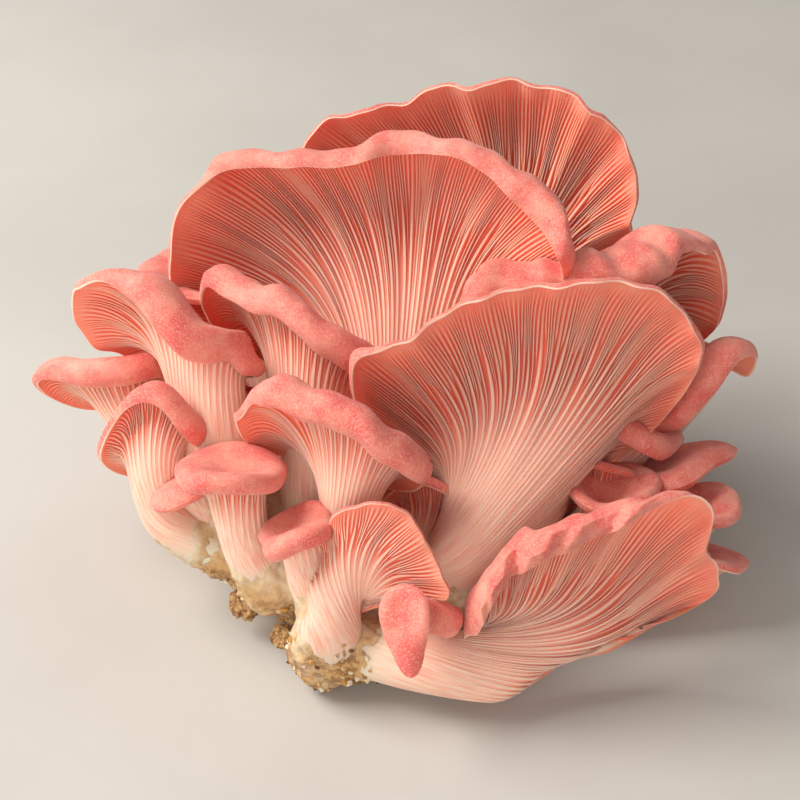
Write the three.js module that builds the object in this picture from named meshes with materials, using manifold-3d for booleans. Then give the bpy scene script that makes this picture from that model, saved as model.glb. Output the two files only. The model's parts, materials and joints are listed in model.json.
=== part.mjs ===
// A cluster of pink oyster mushrooms, as picked: fan-shaped fruit bodies of several sizes grown from one
// clump of mycelium, with crumbs of the straw and sawdust it grew on. Millimetres, +Z up. The cluster rests
// on the foot of its clump, and its open, gilled sides face -Y.
import * as THREE from "three";
import { mergeVertices } from "three/addons/utils/BufferGeometryUtils.js";
import Module from "manifold-3d";

// The whole cluster.
// Puts the middle of the footprint at the origin and the lowest point at z = 0.
const RESTING_SHIFT = [1.1, -0.9, 7];
const FLOOR = -RESTING_SHIFT[2]; // height of the surface before that shift
const CLEARANCE = 0.45; // space kept round a piece where its neighbour would press into it

// How finely each size of fruit body is made: columns round it, and rows along each part of its outline.
const DETAIL = {
  large: { columns: 24, stem: 3, gills: 5, lip: 2, cap: 3 },
  medium: { columns: 16, stem: 2, gills: 3, lip: 1, cap: 2 },
  small: { columns: 10, stem: 2, gills: 2, lip: 1, cap: 2 },
};

const FLESH_PINK = 0xe8897a;
const MYCELIUM_CREAM = 0xe6d6b8;
const SUBSTRATE_BROWN = 0xb08a56;

// The fruit bodies. A stem bends from its foot past its middle to its neck, where the cap spreads.
// "top" is the way the cap's smooth side faces and "front" the way it reaches furthest. "flesh" is the
// cap's depth over the neck, "thickness" the margin's, "lip" the radius of the inrolled margin, and
// "slope" how steeply the cap falls towards its margin at the front and at the back, in degrees.
// Each row of "rim" is a place on the margin: the angle round the neck from the front, the reach from the
// crown, the height over the crown, and how far the margin rolls in, in degrees.
const FRUIT_BODIES = [
  {
    name: "front_fan",
    size: "large",
    stem: {
      foot: [10, -32, 6],
      middle: [15, -33, 19],
      neck: [26, -23, 27],
      footRadius: 10,
      neckRadius: 13,
    },
    top: [0.05, 0.95, -0.25],
    front: [0.4, 0.25, 0.85],
    flesh: 8,
    thickness: 2,
    lip: 3,
    slope: [40, 20],
    flare: 0.4,
    belly: [0.55, 0.35],
    rim: [
      [-150, 17, 0, 0], [-115, 22, 0, 20], [-86, 41, -6, 70], [-73, 51, -16, 85], [-65, 58, -19, 85],
      [-55, 57, -19, 60], [-49, 55, -17, 35], [-42, 55, -13, 30], [-34, 56, -10, 25], [-25, 57, -7, 25],
      [-15, 59, -3, 20], [-5, 62, -2, 20], [3, 64, 0, 20], [10, 66, 2, 15], [18, 65, 4, 15],
      [26, 63, 6, 10], [31, 58, 7, 5], [36, 51, 8, 5], [42, 41, 8, 5], [50, 26, 5, 0], [71, 20, 1, 0],
      [119, 18, 1, 0], [180, 17, 0, 0],
    ],
  },
  {
    name: "upper_fan",
    size: "large",
    stem: {
      foot: [-8, -14, 3],
      middle: [1, 1, 19],
      neck: [2, 19, 37],
      footRadius: 8,
      neckRadius: 14,
    },
    top: [0, 0.95, -0.25],
    front: [-0.1, 0.25, 0.95],
    flesh: 8,
    thickness: 2,
    lip: 3.8,
    slope: [50, 20],
    belly: [0.5, 0.4],
    rim: [
      [-150, 20, 0, 0], [-115, 26, 0, 10], [-90, 40, -2, 10], [-68, 62, -7, 10], [-60, 68, -5, 10],
      [-52, 73, -2, 15], [-45, 77, -4, 40], [-36, 77, -1, 85], [-28, 73, 1, 110], [-20, 70, -2, 120],
      [-12, 66, -2, 115], [-3, 66, -5, 110], [6, 66, -4, 110], [15, 69, -8, 120], [25, 68, -12, 135],
      [35, 66, -20, 155], [47, 64, -26, 160], [62, 52, -20, 110], [90, 36, -4, 40], [120, 26, 0, 10],
      [165, 19, 0, 0],
    ],
  },
  {
    name: "back_fan",
    size: "large",
    stem: {
      foot: [4, -2, 0],
      middle: [9, 20, 21],
      neck: [28, 50, 44],
      footRadius: 8,
      neckRadius: 13,
    },
    top: [0.1, 0.95, -0.3],
    front: [0, 0.3, 0.95],
    flesh: 7,
    thickness: 1.8,
    lip: 2,
    slope: [35, 20],
    rim: [
      [-150, 18, 0, 0], [-110, 24, 0, 0], [-82, 40, 0, 0], [-57, 66, -6, 0], [-46, 68, -5, 0],
      [-36, 64, -5, 0], [-28, 59, -4, 5], [-20, 60, -3, 5], [-9, 59, -3, 5], [0, 59, -3, 5],
      [9, 58, -3, 5], [15, 59, -4, 5], [23, 58, -5, 5], [33, 55, -8, 5], [43, 51, -10, 5],
      [50, 47, -11, 5], [58, 41, -11, 5], [80, 30, -3, 0], [110, 22, 0, 0], [165, 17, 0, 0],
    ],
  },
  {
    name: "right_rolled",
    size: "large",
    stem: {
      foot: [18, -10, 2],
      middle: [41, 8, 27],
      neck: [50, 29, 51],
      footRadius: 7,
      neckRadius: 11,
    },
    top: [-0.35, 0.6, 0.7],
    front: [0.95, 0.35, 0],
    flesh: 12,
    thickness: 2,
    lip: 3.5,
    slope: [60, 60],
    rim: [
      [-156, 41, -4, 100], [-139, 37, -5, 140], [-118, 35, -8, 150], [-101, 34, -10, 150],
      [-88, 35, -13, 130], [-74, 37, -11, 90], [-59, 37, -8, 50], [-46, 37, -10, 20], [-36, 37, -13, 5],
      [-28, 35, -19, 0], [-19, 32, -24, 0], [-7, 28, -28, 0], [7, 28, -28, 0], [29, 23, -21, 0],
      [60, 20, -13, 0], [108, 16, -6, 0], [171, 23, -1, 30],
    ],
  },
  {
    name: "low_fan",
    size: "large",
    stem: {
      foot: [-13, -47, 5],
      middle: [5, -58, 8],
      neck: [23, -58, 6],
      footRadius: 7,
      neckRadius: 9,
    },
    top: [0.1, 0.82, -0.55],
    front: [0.8, 0.35, 0.5],
    flesh: 6,
    thickness: 1.8,
    lip: 5,
    slope: [20, 20],
    flare: 0.25,
    belly: [0.5, 0.4],
    rim: [
      [-173, 8, -1, 0], [-132, 9, -4, 0], [-103, 12, -6, 40], [-85, 16, -7, 120], [-70, 22, -10, 190],
      [-56, 28, -14, 210], [-45, 35, -16, 215], [-32, 42, -17, 215], [-21, 49, -16, 215],
      [-14, 57, -14, 205], [-9, 63, -11, 140], [-4, 66, -11, 50], [1, 64, -11, 15], [7, 59, -7, 10],
      [14, 58, -4, 10], [19, 53, -1, 5], [26, 23, 2, 0], [43, 13, 2, 0], [83, 8, 1, 0], [141, 7, 0, 0],
    ],
  },
  {
    name: "left_tall",
    size: "medium",
    stem: {
      foot: [-33, -17, 9],
      middle: [-48, -10, 34],
      neck: [-49, 0, 51],
      footRadius: 11,
      neckRadius: 9,
    },
    top: [0.45, 0.7, 0.55],
    front: [-0.9, 0.25, 0.35],
    flesh: 7.5,
    thickness: 2.2,
    lip: 4,
    slope: [40, 70],
    rim: [
      [-130, 12, -1, 30], [-80, 22, -3, 20], [-45, 28, -8, 10], [-20, 34, -10, 10], [0, 39, -7, 10],
      [14, 39, -3, 15], [25, 36, 0, 50], [45, 29, -3, 100], [65, 23, -6, 115], [85, 18, -5, 115],
      [110, 14, -2, 100], [140, 12, -4, 60], [170, 11, -2, 30],
    ],
  },
  {
    name: "left_far",
    size: "medium",
    stem: {
      foot: [-40, -8, 6],
      middle: [-62, -1, 20],
      neck: [-71, 10, 34],
      footRadius: 6,
      neckRadius: 6,
    },
    top: [-0.1, 0.7, 0.7],
    front: [-0.95, -0.1, 0.2],
    flesh: 8,
    thickness: 2,
    lip: 3,
    slope: [60, 60],
    rim: [
      [-90, 15, -3, 0], [-60, 17, -4, 0], [-25, 20, -2, 0], [-5, 23, 1, 10], [15, 21, 0, 50],
      [35, 18, -2, 90], [80, 17, -3, 100], [115, 17, -2, 80], [165, 12, -1, 30],
    ],
  },
  {
    name: "left_low",
    size: "medium",
    stem: {
      foot: [-42, -22, 12],
      middle: [-66, -22, 22],
      neck: [-62, -16, 36],
      footRadius: 6,
      neckRadius: 6,
    },
    top: [0.2, 0.95, 0.3],
    front: [-0.25, -0.15, 0.95],
    flesh: 6,
    thickness: 2,
    lip: 2.8,
    slope: [60, 60],
    rim: [
      [-130, 12, -4, 10], [-90, 12, -7, 10], [-55, 13, -8, 10], [-25, 15, -4, 25], [0, 19, -1, 60],
      [20, 21, 0, 90], [45, 18, -2, 105], [70, 16, -2, 100], [105, 13, 0, 60], [175, 12, 0, 20],
    ],
  },
  {
    name: "front_button",
    size: "medium",
    stem: {
      foot: [-32, -34, 14],
      middle: [-38, -35, 26],
      neck: [-39, -32, 31],
      footRadius: 7,
      neckRadius: 6,
    },
    top: [0.05, 0.1, 1],
    front: [-0.4, -0.9, 0.25],
    flesh: 14,
    thickness: 2.5,
    lip: 2.5,
    slope: [60, 60],
    rim: [
      [-143, 19, -8, 50], [-107, 18, -8, 50], [-67, 16, -5, 60], [-36, 15, -3, 60], [-15, 15, -1, 60],
      [2, 14, 0, 60], [26, 13, 0, 60], [48, 12, -1, 60], [81, 11, -3, 60], [126, 11, -5, 50],
      [177, 15, -7, 50],
    ],
  },
  {
    name: "mid_left",
    size: "medium",
    stem: {
      foot: [-20, -20, 8],
      middle: [-23, -15, 31],
      neck: [-22, -2, 46],
      footRadius: 9,
      neckRadius: 9,
    },
    top: [0.2, 0.8, 0.55],
    front: [-0.5, -0.4, 0.75],
    flesh: 9,
    thickness: 2,
    lip: 3.2,
    slope: [60, 60],
    rim: [
      [-85, 22, 4, 10], [-60, 30, 6, 15], [-38, 35, 9, 40], [-15, 30, 5, 80], [5, 27, 3, 100],
      [25, 25, -1, 115], [50, 23, -4, 120], [75, 22, -4, 110], [100, 20, -1, 70], [135, 18, 1, 30],
      [180, 15, 1, 20],
    ],
  },
  {
    name: "mid_centre",
    size: "medium",
    stem: {
      foot: [-12, -30, 14],
      middle: [-14, -35, 31],
      neck: [-12, -31, 39],
      footRadius: 7,
      neckRadius: 6.5,
    },
    top: [0.25, 0.65, 0.7],
    front: [-0.75, -0.4, 0.5],
    flesh: 8,
    thickness: 1.8,
    lip: 2.9,
    slope: [60, 60],
    rim: [
      [-150, 14, -4, 20], [-109, 17, -2, 10], [-78, 22, -2, 0], [-63, 27, -2, 0], [-50, 30, -1, 5],
      [-36, 31, 1, 10], [-21, 31, 5, 40], [0, 32, 5, 90], [17, 30, 5, 105], [31, 29, 4, 110],
      [44, 28, 3, 115], [59, 28, 1, 115], [76, 26, -1, 115], [97, 23, -2, 100], [125, 19, -2, 70],
      [167, 16, -4, 40],
    ],
  },
  {
    name: "small_fan",
    size: "medium",
    stem: {
      foot: [-18, -48, 4],
      middle: [-17, -54, 18],
      neck: [-15, -51, 24],
      footRadius: 8,
      neckRadius: 7.5,
    },
    top: [-0.1, 0.95, -0.35],
    front: [0.6, 0.3, 0.75],
    flesh: 4,
    thickness: 1.3,
    lip: 1.2,
    slope: [20, 20],
    flare: 0.4,
    rim: [
      [-128, 7, 1, 0], [-71, 9, 0, 0], [-46, 15, -2, 0], [-38, 20, -5, 0], [-26, 23, -7, 0],
      [-13, 26, -9, 0], [-1, 27, -10, 0], [10, 26, -12, 0], [23, 25, -12, 0], [35, 25, -13, 0],
      [50, 25, -14, 0], [55, 18, -9, 0], [75, 10, -4, 0], [124, 8, 0, 0], [179, 7, 1, 0],
    ],
  },
  {
    name: "curl_button",
    size: "small",
    stem: {
      foot: [-18, -42, 12],
      middle: [-23, -45, 26],
      neck: [-23, -42, 30],
      footRadius: 6,
      neckRadius: 5,
    },
    top: [-0.35, 0.2, 0.9],
    front: [-0.6, -0.75, 0.15],
    flesh: 7,
    thickness: 2.4,
    lip: 2.2,
    slope: [60, 60],
    rim: [
      [-173, 11, -4, 40], [-142, 10, -4, 40], [-105, 8, -3, 40], [-12, 9, -3, 50], [3, 12, -4, 60],
      [46, 12, -3, 60], [74, 12, -4, 60], [131, 9, -6, 50],
    ],
  },
  {
    name: "finger",
    size: "small",
    stem: {
      foot: [12, -55, 19],
      middle: [6, -58, 25],
      neck: [2, -61, 27],
      footRadius: 4,
      neckRadius: 4.2,
    },
    top: [-0.25, -0.5, 0.8],
    front: [0.1, -0.6, -0.8],
    flesh: 4,
    thickness: 1.6,
    lip: 1.6,
    slope: [60, 60],
    rim: [
      [-150, 5, -1, 20], [-100, 5, -1, 20], [-55, 6, -2, 20], [-25, 9, -5, 20], [0, 14, -8, 20],
      [25, 9, -5, 20], [60, 6, -2, 20], [110, 5, -1, 20],
    ],
  },
  {
    name: "right_curled",
    size: "medium",
    stem: {
      foot: [30, -4, 6],
      middle: [58, 6, 14],
      neck: [77, 18, 32],
      footRadius: 6,
      neckRadius: 7,
    },
    top: [-0.55, 0.55, 0.6],
    front: [0.75, 0.05, 0.65],
    flesh: 6,
    thickness: 2,
    lip: 3,
    slope: [60, 60],
    rim: [
      [-100, 19, -11, 60], [-60, 20, -9, 60], [-35, 25, -6, 60], [-15, 25, -7, 60], [5, 18, -10, 60],
      [40, 14, 1, 60], [75, 14, 3, 60], [140, 15, 0, 60], [180, 17, 0, 60],
    ],
  },
  {
    name: "right_pointed",
    size: "small",
    stem: {
      foot: [32, -14, 5],
      middle: [48, -12, 8],
      neck: [65, -3, 20],
      footRadius: 5,
      neckRadius: 6,
    },
    top: [-0.1, 0.3, 0.95],
    front: [1, 0.1, 0.2],
    flesh: 5,
    thickness: 2,
    lip: 2,
    slope: [40, 40],
    rim: [
      [-110, 13, -3, 10], [-75, 17, -2, 10], [-30, 17, 0, 10], [5, 23, 0, 10], [40, 19, -2, 10],
      [70, 15, -4, 10], [120, 9, -5, 10],
    ],
  },
  {
    name: "right_fuzzy",
    size: "small",
    stem: {
      foot: [28, -22, 10],
      middle: [40, -21, 15],
      neck: [51, -20, 20],
      footRadius: 5,
      neckRadius: 6,
    },
    top: [0.1, 0.2, 1],
    front: [0.2, -0.9, 0.35],
    flesh: 6,
    thickness: 2,
    lip: 2,
    slope: [60, 60],
    rim: [
      [-165, 12, 2, 30], [-85, 10, 2, 30], [-30, 11, 1, 30], [10, 13, 3, 30], [60, 12, 4, 30],
      [120, 15, 3, 30], [160, 14, 2, 30],
    ],
  },
  {
    name: "right_tip",
    size: "small",
    stem: {
      foot: [32, -26, 8],
      middle: [51, -25, 14],
      neck: [70, -24, 19],
      footRadius: 5,
      neckRadius: 5,
    },
    top: [0.35, 0.45, 0.85],
    front: [1, 0.05, 0.1],
    flesh: 6,
    thickness: 2,
    lip: 2,
    slope: [60, 60],
    rim: [
      [-120, 9, 0, 20], [-60, 10, 0, 20], [-20, 11, 2, 20], [15, 12, 5, 20], [60, 16, 6, 20],
      [100, 12, 2, 20], [160, 9, 0, 20],
    ],
  },
  {
    name: "low_tip",
    size: "small",
    stem: {
      foot: [32, -32, 3],
      middle: [52, -30, 7],
      neck: [71, -29, 11],
      footRadius: 5,
      neckRadius: 5,
    },
    top: [-0.1, 0.85, 0.45],
    front: [0.95, -0.2, -0.1],
    flesh: 4,
    thickness: 1.6,
    lip: 2,
    slope: [50, 50],
    rim: [
      [-120, 6, -3, 10], [-50, 9, -5, 10], [-10, 14, -6, 10], [12, 18, -1, 10], [40, 13, 5, 10],
      [80, 9, 3, 10], [140, 7, 0, 10],
    ],
  },
  {
    name: "left_flap",
    size: "medium",
    stem: {
      foot: [-24, -4, 0],
      middle: [-30, 17, 20],
      neck: [-43, 37, 44],
      footRadius: 6,
      neckRadius: 7,
    },
    top: [-0.3, 0.2, 0.95],
    front: [-1, 0.1, 0.1],
    flesh: 6,
    thickness: 2,
    lip: 2,
    slope: [30, 30],
    rim: [
      [-150, 15, 2, 10], [-90, 18, 6, 10], [-55, 21, 11, 10], [-20, 25, 13, 10], [5, 24, 12, 10],
      [30, 18, 11, 10], [60, 16, 8, 10], [110, 15, 4, 10], [165, 14, 0, 10],
    ],
  },
  {
    name: "between_small",
    size: "small",
    stem: {
      foot: [-28, -6, 4],
      middle: [-32, 4, 16],
      neck: [-37, 13, 28],
      footRadius: 4,
      neckRadius: 4,
    },
    top: [0, 0.5, 0.9],
    front: [-0.95, -0.05, 0.35],
    flesh: 6,
    thickness: 2,
    lip: 2,
    slope: [60, 60],
    rim: [
      [-125, 11, 2, 20], [-70, 9, 3, 20], [-20, 8, 4, 20], [50, 9, 2, 20], [95, 12, 1, 20],
      [150, 9, 1, 20],
    ],
  },
  {
    name: "right_inner",
    size: "small",
    stem: {
      foot: [28, -8, 6],
      middle: [46, -4, 14],
      neck: [58, 3, 25],
      footRadius: 6,
      neckRadius: 6,
    },
    top: [0.5, 0.7, 0.55],
    front: [0.55, -0.5, 0.7],
    flesh: 7,
    thickness: 2,
    lip: 3,
    slope: [60, 60],
    rim: [
      [-110, 12, -2, 60], [-60, 15, -7, 60], [-25, 18, -9, 60], [5, 18, -8, 60], [35, 14, -2, 60],
      [80, 11, 2, 60], [165, 11, 2, 60],
    ],
  },
  {
    name: "right_crescent",
    size: "small",
    stem: {
      foot: [26, -14, 7],
      middle: [38, -12, 12],
      neck: [49, -9, 18],
      footRadius: 5,
      neckRadius: 5,
    },
    top: [0.1, 0.45, 0.85],
    front: [0.45, -0.65, 0.65],
    flesh: 5,
    thickness: 1.6,
    lip: 2,
    slope: [60, 60],
    rim: [
      [-110, 10, 3, 10], [-45, 11, 6, 10], [5, 11, 5, 10], [45, 12, 3, 10], [110, 12, 1, 10],
      [170, 11, 1, 10],
    ],
  },
  {
    name: "inner_dark",
    size: "small",
    stem: {
      foot: [0, -26, 5],
      middle: [3, -24, 10],
      neck: [6, -21, 15],
      footRadius: 6,
      neckRadius: 6,
    },
    top: [0.1, 0.95, 0.35],
    front: [-0.15, -0.25, 0.95],
    flesh: 6,
    thickness: 2,
    lip: 2,
    slope: [50, 50],
    rim: [
      [-130, 10, -2, 20], [-80, 12, -2, 30], [-30, 17, -2, 30], [0, 20, -1, 30], [30, 18, -2, 30],
      [80, 12, -2, 30], [150, 9, -2, 20],
    ],
  },
  {
    name: "button_left",
    size: "small",
    stem: {
      foot: [-44, -20, 16],
      middle: [-48, -18, 22],
      neck: [-52, -17, 28],
      footRadius: 4,
      neckRadius: 4,
    },
    top: [-0.3, 0.25, 0.9],
    front: [-0.6, -0.75, 0.2],
    flesh: 7,
    thickness: 1.8,
    lip: 2,
    slope: [70, 70],
    rim: [
      [-150, 12, -5, 20], [-90, 10, -5, 20], [-35, 10, -6, 20], [15, 13, -6, 20], [50, 13, -5, 20],
      [110, 10, -4, 20],
    ],
  },
  {
    name: "back_low",
    size: "medium",
    stem: {
      foot: [8, 2, 4],
      middle: [20, 24, 8],
      neck: [34, 38, 20],
      footRadius: 6,
      neckRadius: 8,
    },
    top: [0.1, 0.75, 0.65],
    front: [0.9, 0.35, -0.1],
    flesh: 7,
    thickness: 2,
    lip: 2.5,
    slope: [50, 50],
    rim: [
      [-130, 17, 0, 20], [-70, 22, -4, 20], [-20, 26, -2, 20], [20, 24, -5, 20], [70, 18, -3, 20],
      [130, 15, -1, 20], [180, 14, 0, 20],
    ],
  },
  {
    name: "back_left",
    size: "medium",
    stem: {
      foot: [-14, 0, 4],
      middle: [-22, 24, 6],
      neck: [-26, 36, 18],
      footRadius: 6,
      neckRadius: 7,
    },
    top: [-0.3, 0.75, 0.6],
    front: [-0.85, 0.1, -0.4],
    flesh: 6,
    thickness: 2,
    lip: 2.5,
    slope: [50, 50],
    rim: [
      [-140, 15, 0, 20], [-80, 18, -3, 20], [-20, 22, -4, 20], [35, 19, -1, 20], [90, 17, -3, 20],
      [150, 14, -1, 20],
    ],
  },
  {
    name: "back_button",
    size: "small",
    stem: {
      foot: [-2, 4, 5],
      middle: [-2, 20, 5],
      neck: [-2, 33, 12],
      footRadius: 5,
      neckRadius: 5,
    },
    top: [0.1, 0.7, 0.7],
    front: [0.2, -0.6, 0.7],
    flesh: 7,
    thickness: 2,
    lip: 2,
    slope: [70, 70],
    rim: [
      [-120, 11, -3, 20], [-60, 12, -2, 20], [0, 13, -3, 20], [60, 11, -2, 20], [120, 12, -3, 20],
      [180, 11, -2, 20],
    ],
  },
];

// The clump of mycelium: the reach of its foot round its middle, as [angle, reach] rows, and its height.
const CLUMP = {
  middle: [-5, -18],
  height: 25,
  foot: [[-150, 24], [-110, 26], [-70, 24], [-25, 34], [10, 38], [60, 35], [110, 31], [150, 36], [180, 34]],
  profile: [[0, 0.9], [0.12, 1.02], [0.35, 1.1], [0.6, 1.02], [0.82, 0.72], [0.95, 0.38]],
  columns: 28,
};

// Loose crumbs of substrate stuck under the clump's front edge: where they sit and how wide they are.
const CRUMBS = [
  { at: [-46, -14, 4], width: 7 },
  { at: [-39, -30, 3], width: 8 },
  { at: [-29, -40, 1], width: 6 },
  { at: [-20, -49, -1], width: 5 },
  { at: [-53, -4, 6], width: 6 },
];

const vector = (numbers) => new THREE.Vector3(...numbers);
const radians = THREE.MathUtils.degToRad;

// A smooth closed curve through rows of [angle, value, ...], read at any angle in degrees.
function around(rows, angle) {
  const turn = 360;
  const count = rows.length;
  const at = (i) => {
    const lap = Math.floor(i / count);
    const row = rows[i - lap * count];
    return [row[0] + lap * turn, ...row.slice(1)];
  };
  const start = rows[0][0];
  const here = start + THREE.MathUtils.euclideanModulo(angle - start, turn);
  let i = 0;
  while (i < count - 1 && at(i + 1)[0] <= here) i += 1;
  const [before, first, second, after] = [at(i - 1), at(i), at(i + 1), at(i + 2)];
  const span = second[0] - first[0];
  const t = (here - first[0]) / span;
  return first.slice(1).map((value, k) => {
    const next = second[k + 1];
    const leaving = ((next - before[k + 1]) / (second[0] - before[0])) * span;
    const arriving = ((after[k + 1] - value) / (after[0] - first[0])) * span;
    const [t2, t3] = [t * t, t * t * t];
    return (
      value * (2 * t3 - 3 * t2 + 1) +
      leaving * (t3 - 2 * t2 + t) +
      next * (3 * t2 - 2 * t3) +
      arriving * (t3 - t2)
    );
  });
}

// The three directions of a cap: its top, its front, and its side.
function capFrame(body) {
  const top = vector(body.top).normalize();
  const front = vector(body.front);
  front.addScaledVector(top, -front.dot(top)).normalize();
  const side = new THREE.Vector3().crossVectors(top, front);
  return { top, front, side };
}

// A direction square to the cap's top, at an angle round it.
function outward({ front, side }, angle) {
  const turn = radians(angle);
  return front.clone().multiplyScalar(Math.cos(turn)).addScaledVector(side, Math.sin(turn));
}

// Angles that space the columns evenly along the margin, with a little of an even turn mixed in.
function columnAngles(body, frame, columns) {
  const evenShare = 0.25;
  const lengths = [0];
  let last = null;
  for (let angle = 0; angle <= 360; angle += 1) {
    const [reach, lift] = around(body.rim, angle);
    const point = outward(frame, angle).multiplyScalar(reach).addScaledVector(frame.top, lift);
    if (last) lengths.push(lengths[lengths.length - 1] + point.distanceTo(last));
    last = point;
  }
  const total = lengths[360];
  const share = (angle) => (1 - evenShare) * (lengths[angle] / total) + (evenShare * angle) / 360;
  const angles = [];
  let angle = 0;
  for (let column = 0; column < columns; column += 1) {
    const wanted = column / columns;
    while (share(angle + 1) <= wanted) angle += 1;
    angles.push(angle + (wanted - share(angle)) / (share(angle + 1) - share(angle)));
  }
  return angles;
}

// The points of one fruit body, ring by ring from its foot, up the gilled side, round the lip and over
// the cap to the crown.
function fruitBodyRings(body) {
  const detail = DETAIL[body.size];
  const frame = capFrame(body);
  const stem = body.stem;
  const stemLine = new THREE.QuadraticBezierCurve3(vector(stem.foot), vector(stem.middle), vector(stem.neck));
  const crown = vector(stem.neck).addScaledVector(frame.top, body.flesh);
  const angles = columnAngles(body, frame, detail.columns);
  const { flare = 0.3, belly = [0.45, 0.4] } = body;
  const rings = [];

  for (let row = 0; row <= detail.stem; row += 1) {
    const t = row / detail.stem;
    const centre = stemLine.getPoint(t);
    const along = stemLine.getTangent(t).lerp(frame.top, 0.6 * t * t).normalize();
    const ahead = frame.front.clone().addScaledVector(along, -frame.front.dot(along)).normalize();
    const across = new THREE.Vector3().crossVectors(along, ahead);
    const radius = THREE.MathUtils.lerp(stem.footRadius, stem.neckRadius, t ** 1.5);
    rings.push(
      angles.map((angle, column) => {
        const turn = radians(0.6 * angle + (0.4 * 360 * column) / detail.columns);
        return centre
          .clone()
          .addScaledVector(ahead, radius * Math.cos(turn))
          .addScaledVector(across, radius * Math.sin(turn));
      }),
    );
  }

  const stemTop = rings[rings.length - 1];
  const stemWay = stemLine.getTangent(1);
  const columns = angles.map((angle, column) => {
    const [reach, lift, rolled] = around(body.rim, angle);
    const roll = radians(Math.max(rolled, 0));
    const [frontSlope, backSlope] = body.slope;
    const facing = Math.cos(radians(angle));
    const slope = radians((frontSlope + backSlope) / 2 + ((frontSlope - backSlope) / 2) * facing);
    const out = outward(frame, angle);
    const fall = out.clone().multiplyScalar(Math.cos(slope)).addScaledVector(frame.top, -Math.sin(slope));
    const inward = out.clone().multiplyScalar(-Math.sin(slope)).addScaledVector(frame.top, -Math.cos(slope));
    const lipReach = (body.lip + body.thickness) * Math.sin(Math.min(roll, Math.PI / 2));
    const shoulder = crown
      .clone()
      .addScaledVector(out, reach)
      .addScaledVector(frame.top, lift)
      .addScaledVector(fall, -lipReach);

    const neck = stemTop[column];
    const span = shoulder.distanceTo(neck);
    const across = shoulder.clone().sub(neck).normalize();
    const onward = 0.5 + 0.5 * stemWay.dot(across);
    const leaving = across.multiplyScalar(1 - (1 - flare) * onward);
    leaving.addScaledVector(stemWay, (1 - flare) * onward).normalize();
    const gills = new THREE.CubicBezierCurve3(
      neck,
      neck.clone().addScaledVector(leaving, span * belly[0] * onward),
      shoulder.clone().addScaledVector(fall, -span * belly[1]),
      shoulder,
    );

    const lipCentre = shoulder.clone().addScaledVector(inward, body.lip);
    const lipPoint = (radius, share) =>
      lipCentre
        .clone()
        .addScaledVector(fall, radius * Math.sin(roll * share))
        .addScaledVector(inward, -radius * Math.cos(roll * share));

    const capEdge = shoulder.clone().addScaledVector(inward, -body.thickness);
    const capSpan = capEdge.distanceTo(crown);
    const cap = new THREE.CubicBezierCurve3(
      capEdge,
      capEdge.clone().addScaledVector(fall, -0.4 * capSpan),
      crown.clone().addScaledVector(out, 0.35 * capSpan),
      crown,
    );

    const points = [];
    for (let row = 1; row <= detail.gills; row += 1) points.push(gills.getPoint(row / detail.gills));
    for (let row = 1; row <= detail.lip; row += 1) points.push(lipPoint(body.lip, row / detail.lip));
    for (let row = detail.lip; row >= 0; row -= 1) {
      const share = row / detail.lip;
      points.push(lipPoint(body.lip + body.thickness * (1 - 0.4 * share), share));
    }
    for (let row = 1; row < detail.cap; row += 1) points.push(cap.getPoint(row / detail.cap));
    return points;
  });
  columns[0].forEach((_, row) => rings.push(columns.map((points) => points[row])));
  return { rings, bottom: vector(stem.foot), crown };
}

// A closed surface through rings of points, closed by a point at each end.
function closedSurface({ rings, bottom, crown }) {
  const columns = rings[0].length;
  const points = [...rings.flat(), bottom, crown];
  const bottomIndex = points.length - 2;
  const crownIndex = points.length - 1;
  const lastRing = (rings.length - 1) * columns;
  const faces = [];
  for (let column = 0; column < columns; column += 1) {
    const next = (column + 1) % columns;
    for (let ring = 0; ring < lastRing; ring += columns) {
      faces.push(ring + column, ring + next, ring + columns + next);
      faces.push(ring + column, ring + columns + next, ring + columns + column);
    }
    faces.push(bottomIndex, next, column);
    faces.push(crownIndex, lastRing + column, lastRing + next);
  }
  const geometry = new THREE.BufferGeometry().setFromPoints(points);
  geometry.setIndex(faces);
  geometry.computeVertexNormals();
  return geometry;
}

// The clump: a lumpy mound with a flat foot, widest a little above the surface.
function clumpSurface() {
  const [x, y] = CLUMP.middle;
  const rings = CLUMP.profile.map(([rise, width]) => {
    const ring = [];
    for (let column = 0; column < CLUMP.columns; column += 1) {
      const angle = (360 * column) / CLUMP.columns;
      const broadLump = 0.06 * rise * Math.sin(radians(5 * angle));
      const fineLump = 0.04 * Math.sin(radians(9 * angle + 300 * rise));
      const reach = around(CLUMP.foot, angle)[0] * width * (1 + broadLump + fineLump);
      const turn = radians(angle);
      ring.push(
        new THREE.Vector3(
          x + reach * Math.cos(turn),
          y + reach * Math.sin(turn),
          FLOOR + CLUMP.height * rise,
        ),
      );
    }
    return ring;
  });
  const bottom = new THREE.Vector3(x, y, FLOOR);
  const crown = new THREE.Vector3(x, y, FLOOR + CLUMP.height);
  return closedSurface({ rings, bottom, crown });
}

// A crumb: an angular grain, a little flatter than it is wide.
function crumbSurface({ at, width }, index) {
  const geometry = new THREE.IcosahedronGeometry(width / 2, 1);
  geometry.deleteAttribute("normal");
  geometry.deleteAttribute("uv");
  const grain = mergeVertices(geometry);
  const position = grain.attributes.position;
  for (let i = 0; i < position.count; i += 1) {
    const bump = 1 + 0.14 * Math.sin(3.1 * i + 1.7 * index);
    position.setXYZ(i, position.getX(i) * bump, position.getY(i) * bump, position.getZ(i) * bump * 0.75);
  }
  grain.translate(...at);
  grain.computeVertexNormals();
  return grain;
}

const wasm = await Module();
wasm.setup();

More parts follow.
